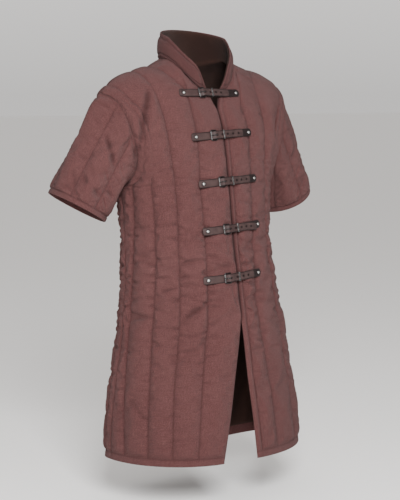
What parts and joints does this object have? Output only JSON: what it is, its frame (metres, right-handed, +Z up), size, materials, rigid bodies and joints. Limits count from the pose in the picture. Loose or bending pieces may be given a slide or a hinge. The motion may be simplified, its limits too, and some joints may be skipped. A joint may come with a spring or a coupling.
{
  "type": "gambeson",
  "caption": "Quilted knee-length padded coat with a stand collar, short sleeves, a front slit and buckled leather straps down the front, in a hollow worn shape.",
  "frame": {"origin": "between the shoulders at the base of the neck, where the wearer's neck and shoulders carry the garment", "axes": "+Z up along the wearer's body, -Y the way the wearer faces, +X the wearer's left"},
  "size_m": [0.7914, 0.3714, 1.1116],
  "materials": {
    "cloth": "matt reddish brown canvas, quilted",
    "lining": "matt dark brown cotton",
    "leather": "dark brown, slightly worn",
    "buckle_metal": "blackened steel",
    "rivet_metal": "bright domed rivets"
  },
  "bodies": {
    "root": {"front_right": "cloth", "front_left": "cloth", "back": "cloth", "sleeve_right": "cloth", "sleeve_left": "cloth", "collar": "cloth", "collar_lining": "lining", "back_lining": "lining", "tongue_1": "leather", "chape_1": "leather", "buckle_1": "buckle_metal", "prong_1": "buckle_metal", "keeper_1": "buckle_metal", "rivet_right_1": "rivet_metal", "rivet_left_1": "rivet_metal", "tongue_2": "leather", "chape_2": "leather", "buckle_2": "buckle_metal", "prong_2": "buckle_metal", "keeper_2": "buckle_metal", "rivet_right_2": "rivet_metal", "rivet_left_2": "rivet_metal", "tongue_3": "leather", "chape_3": "leather", "buckle_3": "buckle_metal", "prong_3": "buckle_metal", "keeper_3": "buckle_metal", "rivet_right_3": "rivet_metal", "rivet_left_3": "rivet_metal", "tongue_4": "leather", "chape_4": "leather", "buckle_4": "buckle_metal", "prong_4": "buckle_metal", "keeper_4": "buckle_metal", "rivet_right_4": "rivet_metal", "rivet_left_4": "rivet_metal", "tongue_5": "leather", "chape_5": "leather", "buckle_5": "buckle_metal", "prong_5": "buckle_metal", "keeper_5": "buckle_metal", "rivet_right_5": "rivet_metal", "rivet_left_5": "rivet_metal"}
  },
  "joints": []
}
